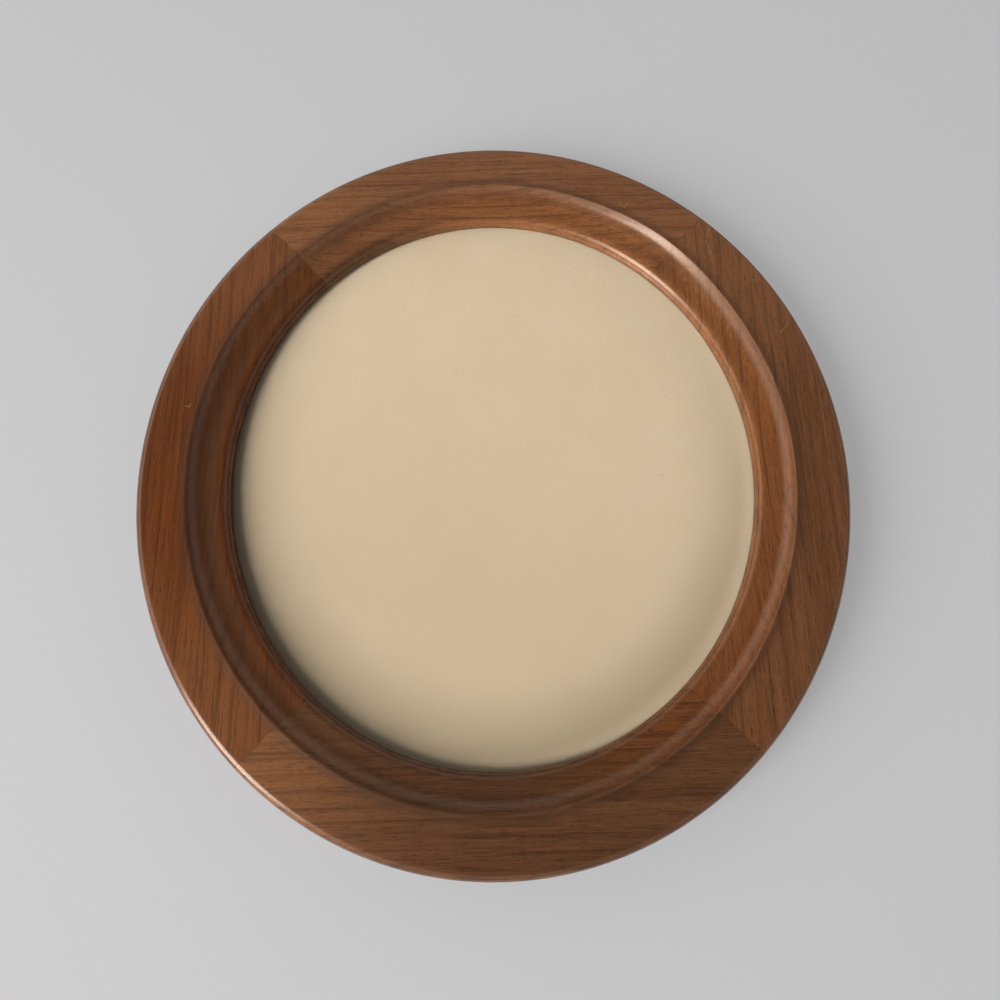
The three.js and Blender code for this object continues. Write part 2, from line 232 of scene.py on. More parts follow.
def rail_marks(angle, out, up):
    """How worn and stained a rail is, and where light and shade are painted into its colour: bells of the
    millimetres out from the sight edge, times bells or cosines of the angle from the right. Wear is on the
    ridge, the outer edge and the bead."""
    front = up > 0
    near_step = up > 1000 * step_rise - 1.2
    ridge_wear = bell(out, 1000 * step_width, 0.7) * near_step
    edge_wear = bell(out, 1000 * rail_width - 1.2, 1.2) * front
    bead_wear = 0.6 * bell(out, 1.2, 1.0) * (up > 1000 * lip_edge)
    # painted shade along the foot of the lip, where it meets the glass
    lip_painted_shade = bell(up, 0, 1.2) * (out < 1)
    # a darker strip on the rim just outside the ridge
    ridge_strip_darkening = bell(out, 1000 * step_width + 1.4, 2.4) * (up > 1000 * step_rise - 1.0)
    stain = bell(angle, stain_angle, 0.085) * bell(out, 10.5, 3.5) * front
    on_bead = np.clip((7 - out) / 4, 0, 1)
    # painted shade on the bead and beside the wall at the upper left, where the lamp's light only grazes the
    # hollow
    upper_left_painted_shade = bell(angle, upper_left_shade_angle, 0.33) * (on_bead + 0.7 * bell(out, 16.8, 2.5)) * front
    hollow = np.clip((16.5 - out) / 5, 0, 1) * front
    inside = np.clip(1000 * step_width - out, 0, 1) * front
    # painted tone: the hollow redder on the lower right, standing in for less reflected grey sheen there
    lower_right = np.clip(2.5 * np.cos(angle - redder_hollow_angle) - 1.2, 0, 1)
    # painted light: the shelf lighter on the right, the side that faces the lamp
    right = np.clip(2.5 * np.cos(angle - lit_shelf_angle) - 1.4, 0, 1)
    return {
        "wear": np.clip(ridge_wear + edge_wear + bead_wear, 0, 1),
        # darkening: a real stain, a darker strip by the ridge, and painted shade at the lip and the upper
        # left
        "dirt_and_painted_shade": lip_painted_shade + 0.9 * ridge_strip_darkening + 0.9 * stain + 1.3 * upper_left_painted_shade,
        # painted light and shade: the cosine of the hollow's angle from its side that faces the lamp,
        # positive where the lamp lights it
        "painted_lamp_side": hollow * np.cos(angle - painted_lamp_side_angle),
        "hollow": hollow,
        # painted fill light: the left cove lighter and greyer, where the ridge hides it from the lamp
        "dust_and_painted_light": bell(angle, left_cove_light_angle, 0.75) * bell(out, 10.8, 5.0) * front,
        "painted_redder_hollow": inside * lower_right,
        "painted_light_shelf": bell(out, 6.8, 3.0) * front * right,
    }


def rail_piece(name, first, last, offset):
    """A rail: the section carried along the oval between two mitres. Each point of the section runs between
    its own meeting angles with the mitres, so that both ends are flat, and the two ends are closed."""
    section = moulding_section()
    outward, height = section[:, 0], section[:, 1]
    start = mitre_angle(outward, *first, offset)
    end = mitre_angle(outward, *last, offset)
    share = np.linspace(0, 1, rail_steps)[:, None]
    angle = start * (1 - share) + end * share
    x, y = moulded(angle, outward)
    z = np.broadcast_to(lip_level + height, x.shape)
    piece = new_piece(name, np.stack([x, y, z], axis=-1), bar_faces(rail_steps, len(section)))
    for mark, amount in rail_marks(angle, 1000 * outward, 1000 * height).items():
        give_attribute(piece, mark, np.broadcast_to(amount, x.shape))
    return piece


class Shade:
    """An output of a node in a material. Arithmetic on it adds Math nodes to the same material."""

    def __init__(self, tree, socket=None):
        self.tree = tree
        self.socket = socket

    def node(self, kind, settings=None, inputs=None, output=0):
        """Adds a node of a type: first its settings, then the values or links of its sockets."""
        made = self.tree.nodes.new(kind)
        for name, value in (settings or {}).items():
            setattr(made, name, value)
        for key, value in (inputs or {}).items():
            if isinstance(value, Shade):
                self.tree.links.new(value.socket, made.inputs[key])
            else:
                made.inputs[key].default_value = value
        return Shade(self.tree, made.outputs[output] if len(made.outputs) else None)

    def math(self, operation, *values):
        return self.node("ShaderNodeMath", {"operation": operation}, dict(enumerate(values)))

    def __add__(self, other):
        return self.math("ADD", self, other)

    __radd__ = __add__

    def __sub__(self, other):
        return self.math("SUBTRACT", self, other)

    def __rsub__(self, other):
        return self.math("SUBTRACT", other, self)

    def __mul__(self, other):
        return self.math("MULTIPLY", self, other)

    __rmul__ = __mul__

    def __truediv__(self, other):
        return self.math("DIVIDE", self, other)

    def __rtruediv__(self, other):
        return self.math("DIVIDE", other, self)

    def __pow__(self, other):
        return self.math("POWER", self, other)


def new_material(name):
    """An empty material, and the Object coordinates of the piece that wears it."""
    made = bpy.data.materials.new(name)
    made.use_nodes = True
    made.node_tree.nodes.clear()
    return made, Shade(made.node_tree).node("ShaderNodeTexCoord", output="Object")


def surface(place, **sockets):
    """Closes a material with a Principled shader. Underscores in the names stand for spaces."""
    named = {key.replace("_", " "): value for key, value in sockets.items()}
    shader = place.node("ShaderNodeBsdfPrincipled", inputs=named)
    place.node("ShaderNodeOutputMaterial", inputs={"Surface": shader})


def paint(red, green, blue):
    """A colour from its usual 0 to 255 values, in the linear scale that shaders take."""
    scaled = np.array([red, green, blue]) / 255
    linear = np.where(scaled <= 0.04045, scaled / 12.92, ((scaled + 0.055) / 1.055) ** 2.4)
    return (*linear.tolist(), 1.0)


def in_millimetres(place, turn=0.0, shift=(0.0, 0.0, 0.0)):
    """Coordinates scaled to millimetres, turned about the upright axis and then shifted."""
    return place.node(
        "ShaderNodeMapping",
        inputs={"Vector": place, "Scale": (1000, 1000, 1000), "Rotation": (0, 0, turn), "Location": shift},
    )


def part(vector, axis):
    """One part of a vector: its X, Y or Z."""
    return vector.node("ShaderNodeSeparateXYZ", inputs={0: vector}, output=axis)


def attribute(place, name):
    """The number that a piece carries under a name at each of its points."""
    return place.node("ShaderNodeAttribute", {"attribute_name": name}, output="Fac")


def vector_math(operation, first, second, output=0):
    """A Vector Math node on two vectors, of which at least the first is a Shade."""
    return first.node("ShaderNodeVectorMath", {"operation": operation}, {0: first, 1: second}, output)


def noise(vector, lengths, detail=2.0, roughness=0.5):
    """Noise from 0 to 1 whose blotches have about these lengths along the vector's axes."""
    scaled = vector_math("DIVIDE", vector, lengths)
    inputs = {"Vector": scaled, "Scale": 1.0, "Detail": detail, "Roughness": roughness}
    return vector.node("ShaderNodeTexNoise", inputs=inputs, output="Fac")


def ramp(value, low, high):
    """0 below low, 1 above high and an S-shaped rise between them; it falls where low is above high."""
    inputs = {"Value": value, "From Min": low, "From Max": high}
    return value.node("ShaderNodeMapRange", {"interpolation_type": "SMOOTHSTEP"}, inputs, "Result")


def mix(factor, under, over):
    """A colour that goes from under to over as the factor goes from 0 to 1."""
    return factor.node("ShaderNodeMix", {"data_type": "RGBA"}, {0: factor, 6: under, 7: over}, 2)


def flecks(vector, lengths, radius, spread):
    """Short dashes as long and wide as these lengths times the radius, one in each cell of a jittered
    lattice, whose radius varies from cell to cell by the spread. 1 inside a dash and 0 outside."""
    inputs = {"Vector": vector_math("DIVIDE", vector, lengths), "Scale": 1.0}
    distance = vector.node("ShaderNodeTexVoronoi", inputs=inputs, output="Distance")
    chance = vector.node("ShaderNodeTexVoronoi", inputs=inputs, output="Color")
    reach = radius + spread * (chance.node("ShaderNodeSeparateColor", inputs={0: chance}) - 0.5)
    return ramp(distance / reach, 1.0, 0.45)


def bump(height, strength, depth):
    """A surface normal that follows a height, where a height of 1 stands proud by the depth in metres."""
    inputs = {"Height": height, "Strength": strength, "Distance": depth}
    return height.node("ShaderNodeBump", inputs=inputs, output="Normal")


def scratch(grid, start, end):
    """A fine scratch between two places in millimetres: 1 on the line and 0 beside it."""
    span = tuple(np.subtract(end, start).tolist()) + (0.0,)
    flat = vector_math("MULTIPLY", grid, (1, 1, 0))
    from_start = vector_math("SUBTRACT", flat, start + (0.0,))
    along = vector_math("DOT_PRODUCT", from_start, span, "Value")
    share = along.math("MAXIMUM", along.math("MINIMUM", along / float(np.dot(span, span)), 1.0), 0.0)
    nearest = grid.node("ShaderNodeVectorMath", {"operation": "SCALE"}, {0: span, "Scale": share})
    return ramp(vector_math("DISTANCE", from_start, nearest, "Value"), 0.42, 0.12)


def walnut(name, turn, lot, dark, light, ends, scratches):
    """Satin walnut with its grain along one axis. Growth rings are distances from a far heart line, bent by
    slow noise; pores are short dark dashes along the grain, lines long dark ones, and fibres fine streaks.
    The tone is lighter at the ends. The hollow is painted lighter on its side towards the lamp and darker
    away from it, painted redder on the lower right, and painted lighter in the left cove and on the right
    shelf. It bears a stain, a darker strip by the ridge, painted shade at the lip and the upper left, and
    scratches."""
    made, place = new_material(name)
    unturned = in_millimetres(place)
    plain = in_millimetres(place, turn)
    grain = in_millimetres(place, turn, lot)
    deep = paint(*[0.68 * tone for tone in dark])
    bright = paint(*[1.16 * tone for tone in light])
    drift = noise(grain, (190, 46, 46), 2.0)
    sway = noise(grain, (70, 12, 12), 2.0)
    from_heart = part(grain, "Y") + 16 * drift + 3 * sway + 90
    under_heart = part(grain, "Z") + 16 * drift - 30
    rings = (from_heart ** 2 + under_heart ** 2) ** 0.5 / 7
    growth = rings.math("FRACT", rings)
    late = ramp(growth, 0.6, 0.92) * ramp(growth, 1.0, 0.94)
    stripes = noise(grain, (240, 10, 10), 3.0, 0.5)
    streaks = noise(grain, (40, 1.3, 1.3), 3.0, 0.6)
    lines = noise(grain, (90, 1.8, 1.8), 2.0, 0.6)
    fibres = noise(grain, (18, 0.7, 0.7), 3.0, 0.7)
    long_pores = flecks(grain, (9, 0.8, 0.8), 0.28, 0.3)
    short_pores = flecks(grain, (4.5, 0.65, 0.65), 0.32, 0.3)
    pores = long_pores.math("MAXIMUM", long_pores * (1 - 0.3 * late), 0.7 * short_pores)
    dirt_and_painted_shade = attribute(place, "dirt_and_painted_shade")
    painted_lamp_side = attribute(place, "painted_lamp_side")
    hollow = attribute(place, "hollow")
    rubbed = attribute(place, "wear") * ramp(noise(plain, (14, 14, 14), 3.0), 0.42, 0.66)
    along = part(plain, "X")
    golden = ends[0] * ramp(along, -30, -120) + ends[1] * ramp(along, 30, 120)
    colour = mix(ramp(stripes, 0.25, 0.75), paint(*dark), paint(*light))
    colour = mix(golden * (1 - 0.7 * hollow), colour, paint(152, 99, 60))
    # painted light: the hollow lighter and more orange on its side that faces the lamp
    colour = mix(0.28 * ramp(painted_lamp_side, 0.45, 0.75), colour, paint(186, 114, 58))
    # painted shade: the hollow darker on its side away from the lamp
    colour = mix(0.25 * hollow * ramp(painted_lamp_side, 0.55, 0.0), colour, paint(52, 33, 22))
    # painted tone: redder lower right hollow, standing in for less reflected sheen
    colour = mix(0.5 * attribute(place, "painted_redder_hollow"), colour, paint(122, 63, 12))
    # painted light on the right shelf
    colour = mix(0.28 * attribute(place, "painted_light_shelf"), colour, paint(178, 114, 72))
    colour = mix(0.42 * late * ramp(sway, 0.25, 0.6), colour, deep)
    colour = mix(0.5 * ramp(lines, 0.52, 0.72), colour, deep)
    colour = mix(0.35 * ramp(streaks, 0.45, 0.8), colour, bright)
    colour = mix(0.55 * ramp(fibres, 0.48, 0.75), colour, deep)
    colour = mix(0.4 * ramp(fibres, 0.5, 0.25), colour, bright)
    colour = mix(0.48 * pores, colour, paint(46, 25, 12))
    colour = mix(0.2 * rubbed, colour, paint(176, 124, 80))
    # darker where the stain, the strip by the ridge and the painted shade lie
    colour = mix(0.4 * dirt_and_painted_shade, colour, paint(44, 25, 14))
    # painted fill light in the left cove
    colour = mix(0.4 * attribute(place, "dust_and_painted_light"), colour, paint(110, 79, 59))
    front = ramp(part(unturned, "Z"), 12, 16)
    for first, last in scratches:
        colour = mix(0.38 * front * scratch(unturned, first, last), colour, paint(196, 140, 98))
    surface(
        place,
        Base_Color=colour,
        Roughness=0.18 + 0.1 * fibres + 0.1 * dirt_and_painted_shade,
        Normal=bump(0.5 * fibres - 0.6 * pores, 0.2, 0.0001),
        Specular_IOR_Level=0.65,
        Specular_Tint=(1.0, 0.79, 0.63, 1.0),
        Coat_Weight=0.1,
        Coat_Roughness=0.2,
    )
    return made


# Each rail has its two mitres as a half turn and a sign, their distance from the diagonal, the turn of its
# grain in degrees, its board's place in the log, a dark and a light tone, and how pale its two ends are.
half_gap = glue_line / math.sqrt(2)
upright_mitre = mitre_offset - half_gap
level_mitre = mitre_offset + half_gap
rails = {
    "top": ((0, 1), (1, -1), level_mitre, 0, (0, 12, 3), (123, 77, 47), (146, 95, 61), (0.7, 0.25)),
    "left": ((1, -1), (1, 1), upright_mitre, 90, (37, 140, 5), (94, 46, 16), (116, 62, 25), (0.45, 0.45)),
    "bottom": ((1, 1), (2, -1), level_mitre, 0, (61, 330, 9), (91, 57, 35), (112, 72, 46), (0.75, 0.05)),
    "right": ((0, -1), (0, 1), upright_mitre, 90, (88, 510, 14), (107, 66, 39), (129, 83, 52), (0.58, 0.05)),
}
scratches = {
    "top": [((-85, 157), (-83, 154.6)), ((77.4, 158), (80.4, 155)), ((80.4, 155), (82.6, 157.6))],
    "left": [((-164, 37.8), (-161.8, 37.1)), ((-161.8, 37.1), (-160.8, 38.6))],
    "bottom": [((-133.7, -101.4), (-132.4, -102)), ((-127, -106.3), (-126, -105.6))],
    "right": [((128, 141), (125.4, 134)), ((125.2, 131.6), (126.8, 122)), ((165, 77.6), (160.5, 72.2))],
}
rail_pieces = {}
for side, (first, last, offset, turn, lot, dark, light, ends) in rails.items():
    rail = rail_piece(side + "_rail", first, last, offset)
    wood = walnut("walnut_" + side, math.radians(turn), lot, dark, light, ends, scratches[side])
    rail.data.materials.append(wood)
    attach(rail, "frame")
    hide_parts("rail_" + side)
    rail_pieces[side] = rail

# Tongues: four loose pieces of bare beech, glued into slots that are sawn into both sides of each mitre.
# Their grain runs across the joint. They lie inside the rails, so nothing of them is seen from outside.
tongue_length = 0.026
tongue_width = 0.024
tongue_edge = 0.0004
slot_gap = 0.0002
slot_corner = 0.0001


def outline_of(arcs, line_steps=0):
    """Points and outward normals of a closed outline, anticlockwise: arcs that straight lines join. Each arc
    has its centre, radius, first and last angle in degrees and number of points."""
    points = []
    normals = []
    for place, radius, start, end, steps in arcs:
        turn = np.radians(np.linspace(start, end, steps))
        outward = np.stack([np.cos(turn), np.sin(turn)], axis=1)
        points.append(np.array(place) + radius * outward)
        normals.append(outward)
    share = np.linspace(0, 1, line_steps + 2)[1:-1, None]
    whole_points = []
    whole_normals = []
    for index, (point, normal) in enumerate(zip(points, normals)):
        following = points[(index + 1) % len(points)]
        whole_points += [point, point[-1] * (1 - share) + following[0] * share]
        whole_normals += [normal, np.repeat(normal[-1:], line_steps, axis=0)]
    return np.concatenate(whole_points), np.concatenate(whole_normals)


def rounded_box(length, width, corner, steps):
    """The four corner arcs of a rectangle with rounded corners about the origin."""
    x, y = length / 2 - corner, width / 2 - corner
    corners = ((x, y, 0), (-x, y, 90), (-x, -y, 180), (x, -y, 270))
    return [((across, along), corner, start, start + 90, steps) for across, along, start in corners]


def placed(outline, turn, x=0.0, y=0.0):
    """Points or normals turned about the origin by an angle and then moved."""
    cosine, sine = math.cos(turn), math.sin(turn)
    return outline @ np.array([[cosine, sine], [-sine, cosine]]) + np.array([x, y])


def plate_piece(name, outline, normal, low, high, rounding, steps=5):
    """A flat plate of an outline with rounded lower and upper edges: at each level the outline is drawn in
    along its normals by a quarter circle, and the two flat faces are closed."""
    lower = arc(rounding, low + rounding, rounding, rounding, 270, 180, steps)
    upper = arc(rounding, high - rounding, rounding, rounding, 180, 90, steps)
    edge = np.concatenate([lower, upper])
    drawn = outline[:, None, :] - edge[None, :, :1] * normal[:, None, :]
    level = np.broadcast_to(edge[None, :, 1:], (len(outline), len(edge), 1))
    faces = grid_faces(len(outline), len(edge), wrap_rows=True)
    first = np.arange(len(outline)) * len(edge)
    faces.append(first[::-1].tolist())
    faces.append((first + len(edge) - 1).tolist())
    return new_piece(name, np.concatenate([drawn, level], axis=-1), faces)


def beech(name, turn):
    """Bare sawn beech: pale, with short fine flecks along the grain and faint saw marks across it."""
    made, place = new_material(name)
    grain = in_millimetres(place, turn)
    streaks = noise(grain, (30, 1.2, 1.2), 3.0, 0.6)
    rays = flecks(grain, (3.0, 0.5, 0.5), 0.22, 0.2)
    along = part(grain, "X")
    sawn = along.math("SINE", along * 4.2 + 3 * streaks)
    colour = mix(ramp(streaks, 0.3, 0.7), paint(196, 150, 104), paint(216, 174, 128))
    colour = mix(0.5 * rays, colour, paint(158, 108, 66))
    surface(place, Base_Color=colour, Roughness=0.7, Normal=bump(0.2 * sawn + streaks, 0.3, 0.0001))
    return made


tongue_outline, tongue_normal = outline_of(rounded_box(tongue_length, tongue_width, tongue_edge, 3))
slot_length = tongue_length + 2 * slot_gap
slot_breadth = tongue_width + 2 * slot_gap
slot_outline, slot_normal = outline_of(rounded_box(slot_length, slot_breadth, slot_corner, 2))
slot_cuts = []
for corner, slant in {"upper_right": 1, "upper_left": -1, "lower_left": 1, "lower_right": -1}.items():
    low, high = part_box("spline_" + corner)
    middle = (low + high) / 2
    turn = slant * math.pi / 4
    outline = placed(tongue_outline, turn, middle.x, middle.y)
    normal = placed(tongue_normal, turn)
    tongue = plate_piece("tongue_" + corner, outline, normal, low.z, high.z, tongue_edge, 3)
    tongue.data.materials.append(beech("beech_" + corner, -turn))
    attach(tongue, "frame")
    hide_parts("spline_" + corner)
    slot_cuts.append((middle, turn, low.z, high.z))

# Glass: one pane of clear float glass with seamed edges, lying against the lip of the rebate.
# It is cut to the oval a little smaller than the rebate.
panel_gap = 0.001
panel_steps = 360
glass_seam = 0.0003


def oval_outline(outward, steps):
    """Points and normals of a parallel curve of the sight edge, anticlockwise."""
    angle = np.linspace(0, 2 * math.pi, steps, endpoint=False)
    outline = np.stack(oval(angle, outward), axis=1)
    normal = np.stack(oval(angle, outward + 1), axis=1) - outline
    return outline, normal


def clear_glass():
    """Clear glass with a faint green cast, which lets the lamp's light through to the card."""
    made, place = new_material("clear_glass")
    cast = (0.985, 0.99, 0.985, 1.0)
    sockets = {"Base Color": cast, "Roughness": 0.0, "IOR": 1.5, "Transmission Weight": 1.0}
    pane = place.node("ShaderNodeBsdfPrincipled", inputs=sockets)
    open_way = place.node("ShaderNodeBsdfTransparent", inputs={"Color": (0.96, 0.97, 0.96, 1.0)})
    lit = place.node("ShaderNodeLightPath", output="Is Shadow Ray")
    both = place.node("ShaderNodeMixShader", inputs={0: lit, 1: pane, 2: open_way})
    place.node("ShaderNodeOutputMaterial", inputs={"Surface": both})
    return made


panel_outline, panel_normal = oval_outline(rebate_width - panel_gap, panel_steps)
glass_low, glass_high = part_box("glass_pane")
pane = plate_piece("glass", panel_outline, panel_normal, glass_low.z, glass_high.z, glass_seam, 2)
pane.data.materials.append(clear_glass())
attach(pane, "frame")
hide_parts("glass_pane")

# Card: a plain sheet of cream board behind the glass, cut to the same oval and laid in loose.
# Its face is matt and finely mottled, with painted shade that darkens it towards its lower left and towards
# its sight edge.
card_edge = 0.0001


def card_stock():
    """Cream card: fine fibre mottling, slow cloudy tone and a few faint brown spots. Painted shade darkens
    it towards the lower left, and towards the sight edge by its share of the way out, least at the top."""
    made, place = new_material("cream_card")
    grid = in_millimetres(place)
    across = part(grid, "X")
    along = part(grid, "Y")
    fine = noise(grid, (0.9, 0.9, 0.9), 3.0, 0.6)
    cloud = noise(grid, (28, 28, 28), 3.0, 0.5)
    spots = ramp(noise(grid, (11, 11, 11), 2.0, 0.5), 0.7, 0.8)
    outermost = ((across / (1000 * half_width)) ** 2 + (along / (1000 * half_height)) ** 2) ** 0.5
    # painted shade towards the sight edge, under the rails, fading at the very edge where the real shadow
    # falls
    painted_edge_shade = ramp(outermost, 0.7, 0.97) * (1 - 0.6 * ramp(outermost, 0.94, 1.0)) * ramp(along, 130, -140)
    colour = mix(ramp(cloud, 0.3, 0.7), paint(208, 186, 157), paint(211, 189, 161))
    # painted shade: darker towards the lower left
    colour = mix(0.5 * ramp(along + 0.55 * across, 130, -150), colour, paint(168, 148, 120))
    # painted shade near the sight edge
    colour = mix(0.8 * painted_edge_shade, colour, paint(150, 131, 104))
    colour = mix(0.5 * ramp(fine, 0.45, 0.75), colour, paint(182, 161, 128))
    colour = mix(0.25 * spots, colour, paint(166, 142, 110))
    surface(place, Base_Color=colour, Roughness=0.85, Normal=bump(fine, 0.3, 0.00008))
    return made


card_low, card_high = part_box("display_card")
card = plate_piece("card", panel_outline, panel_normal, card_low.z, card_high.z, card_edge, 2)
card.data.materials.append(card_stock())
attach(card, "frame")
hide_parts("display_card")

# Backing: a sheet of brown hardboard that closes the rebate, with the rough side outwards. The wire screen
# that it was pressed on has left its weave there. It is cut to the oval and lies loose.
backing_edge = 0.0003


def hardboard():
    """Pressed wood fibre: brown, mottled with coarse fibres, with a screen's weave as two crossed waves."""
    made, place = new_material("hardboard")
    grid = in_millimetres(place)
    across = part(grid, "X")
    along = part(grid, "Y")
    wander = noise(grid, (20, 20, 20), 2.0)
    weave = across.math("SINE", across * 3.9 + 3 * wander) * along.math("SINE", along * 3.9 - 3 * wander)
    fibre = noise(grid, (2.4, 0.7, 0.7), 3.0, 0.65)
    cross_fibre = noise(grid, (0.7, 2.4, 0.7), 3.0, 0.65)
    cloud = noise(grid, (60, 60, 60), 3.0)
    colour = mix(ramp(cloud, 0.3, 0.7), paint(128, 91, 57), paint(146, 106, 68))
    colour = mix(0.5 * ramp(fibre, 0.45, 0.75), colour, paint(100, 68, 41))
    colour = mix(0.4 * ramp(cross_fibre, 0.5, 0.8), colour, paint(170, 130, 88))
    colour = mix(0.25 * ramp(weave, 0.1, 0.9), colour, paint(92, 62, 38))
    height = 0.5 * fibre + 0.5 * cross_fibre - 0.35 * weave
    surface(place, Base_Color=colour, Roughness=0.75, Normal=bump(height, 0.6, 0.00025))
    return made


backing_low, backing_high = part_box("backing_board")
backing = plate_piece("backing", panel_outline, panel_normal, backing_low.z, backing_high.z, backing_edge, 3)
backing.data.materials.append(hardboard())
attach(backing, "frame")
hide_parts("backing_board")

# Turn buttons: six flat keys stamped from brass sheet, round at both ends, with a shallow pressed groove
# along the arm. Each turns on one screw and holds the backing in with its long end.
button_reach = 0.020
button_pivot_radius = 0.006
button_tip_radius = 0.0045
button_hole = 0.00185
button_edge = 0.0004
groove_depth = 0.0003
groove_width = 0.0014
groove_start = 0.0075
groove_end = 0.0150
groove_fade = 0.0015


def button_piece(name, pivot, low, high, turn):
    """A button lying along a direction from its pivot: rays from the hole to the outline, down the rounded
    edge and back. The groove is a bell across the arm, with S-shaped ends, on the outer face."""
    tip = button_reach - button_tip_radius
    lean = math.degrees(math.acos((button_pivot_radius - button_tip_radius) / tip))
    pivot_end = ((0, 0), button_pivot_radius, lean, 360 - lean, 72)
    tip_end = ((tip, 0), button_tip_radius, -lean, lean, 40)
    outline, normal = outline_of([pivot_end, tip_end], 14)
    inner = button_hole * outline / np.linalg.norm(outline, axis=1, keepdims=True)
    face = np.linspace(0, 1, 26)[:-1]
    rounding = np.radians(np.linspace(0, 90, 7))
    drawn = button_edge * (1 - np.sin(rounding))
    rise = button_edge * (1 - np.cos(rounding))
    flat = inner[:, None] + (outline - button_edge * normal - inner)[:, None] * face[None, :, None]
    edge = outline[:, None] - drawn[None, :, None] * normal[:, None]
    plan = np.concatenate([flat, edge, edge[:, ::-1], flat[:, ::-1]], axis=1)
    level = np.concatenate([face * 0 + low, low + rise, high - rise[::-1], face * 0 + high])
    along = plan[..., 0]
    after_start = np.clip((along - groove_start) / groove_fade, 0, 1)
    before_end = np.clip((groove_end - along) / groove_fade, 0, 1)
    run = after_start * before_end
    on_lower = np.concatenate([face * 0 + 1, drawn * 0, drawn * 0, face * 0])
    groove = groove_depth * run ** 2 * (3 - 2 * run) * bell(plan[..., 1], 0, groove_width) * on_lower
    height = level + groove
    points = np.concatenate([placed(plan, turn, pivot[0], pivot[1]), height[..., None]], axis=-1)
    faces = grid_faces(len(outline), plan.shape[1], wrap_rows=True, wrap_columns=True)
    piece = new_piece(name, points, faces)
    wear = np.concatenate([face ** 8, drawn * 0 + 1, drawn * 0 + 1, face[::-1] ** 8])
    give_attribute(piece, "wear", np.tile(wear, len(outline)))
    return piece


def aged_brass(name, turn):
    """Brass that has browned with age: brushed streaks along one axis, brown tarnish in clouds and specks,
    and brighter worn edges."""
    made, place = new_material(name)
    brushed = in_millimetres(place, turn)
    plain = in_millimetres(place)
    hairs = noise(brushed, (12, 0.12, 0.12), 2.0, 0.6)
    cloud = noise(plain, (7, 7, 7), 4.0, 0.6)
    specks = ramp(noise(plain, (0.9, 0.9, 0.9), 3.0, 0.6), 0.6, 0.72)
    wear = attribute(place, "wear")
    colour = mix(ramp(cloud, 0.35, 0.7), paint(196, 155, 88), paint(158, 116, 62))
    colour = mix(0.3 * ramp(hairs, 0.4, 0.7), colour, paint(214, 176, 108))
    colour = mix(0.55 * specks, colour, paint(98, 70, 40))
    colour = mix(0.6 * wear, colour, paint(224, 188, 118))
    rough = 0.34 + 0.18 * cloud + 0.15 * specks - 0.12 * wear
    relief = bump(hairs - 0.6 * specks, 0.12, 0.00005)
    surface(place, Base_Color=colour, Metallic=1.0, Roughness=rough, Normal=relief)
    return made


pivots = {joint["child"]: joint["pos_m"] for joint in frame["record"]["behaviour"]["joints"]}
pivot_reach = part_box("turn_button_right")[1].x - button_pivot_radius - half_width
quarter_turns = np.linspace(0, math.pi / 2, 3000)
curve_x = oval(quarter_turns, pivot_reach)[0]
for side in ("top_left", "top_right", "left", "right", "bottom_left", "bottom_right"):
    pivot = pivots[side + "_button"]
    low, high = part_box("turn_button_" + side)
    place_angle = np.interp(abs(pivot[0]), curve_x[::-1], quarter_turns[::-1])
    lean_x = math.copysign(half_height * math.cos(place_angle), pivot[0])
    lean_y = math.copysign(half_width * math.sin(place_angle), pivot[1])
    inward_turn = math.atan2(-lean_y, -lean_x)
    button = button_piece("button_" + side, pivot, low.z, high.z, inward_turn)
    button.data.materials.append(aged_brass("brass_button_" + side, -inward_turn))
    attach(button, side + "_button")
    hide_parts("turn_button_" + side)

# Screws: slotted brass wood screws with domed heads. The one through each button is its pivot, and two more
# hold the hanger. A smooth neck turns into a sharp thread that bites into the rail.
head_radius = 0.0035
head_height = 0.002
head_rim = 0.0003
rim_round = 0.0002
neck_radius = 0.0016
neck_length = 0.0028
neck_taper = 0.0006
core_radius = 0.0011
thread_pitch = 0.0016
thread_lead = 0.001
thread_sharpness = 2.4
point_length = 0.003
point_end = 0.0002
slot_width = 0.001
slot_depth = 0.0009
slot_overrun = 0.001
screw_sides = 32


def turned_piece(name, profile, x, y, sides, ripple=None):
    """A turned piece: a profile of radii and heights carried round an upright axis, with its two ends closed
    to points. A ripple can add to the radius at each angle and height."""
    turn = np.linspace(0, 2 * math.pi, sides, endpoint=False)[:, None]
    radius = profile[None, 1:-1, 0] + (ripple(turn, profile[None, 1:-1, 1]) if ripple else 0 * turn)
    height = np.broadcast_to(profile[None, 1:-1, 1], radius.shape)
    points = np.stack([x + radius * np.cos(turn), y + radius * np.sin(turn), height], axis=-1).reshape(-1, 3)
    rows = len(profile) - 2
    faces = grid_faces(sides, rows, wrap_rows=True)
    ends = np.array([[x, y, profile[0, 1]], [x, y, profile[-1, 1]]])
    first = np.arange(sides) * rows
    following = np.roll(first, -1)
    foot = np.stack([np.full(sides, len(points)), following, first], axis=1)
    crown = np.stack([np.full(sides, len(points) + 1), first + rows - 1, following + rows - 1], axis=1)
    return new_piece(name, np.concatenate([points, ends]), faces + foot.tolist() + crown.tolist())


def carve(piece, cutters):
    """Cuts the space of some cutters out of a piece for good, and does away with the cutters."""
    for cutter in cutters:
        cut = piece.modifiers.new("cut", "BOOLEAN")
        cut.object = cutter
        cut.operation = "DIFFERENCE"
    bpy.context.view_layer.update()
    graph = bpy.context.evaluated_depsgraph_get()
    whole = piece.evaluated_get(graph)
    carved = bpy.data.meshes.new_from_object(whole, preserve_all_data_layers=True, depsgraph=graph)
    piece.modifiers.clear()
    piece.data = carved
    carved.shade_smooth()
    carved.set_sharp_from_angle(angle=sharp_turn)
    for cutter in cutters:
        bpy.data.objects.remove(cutter)


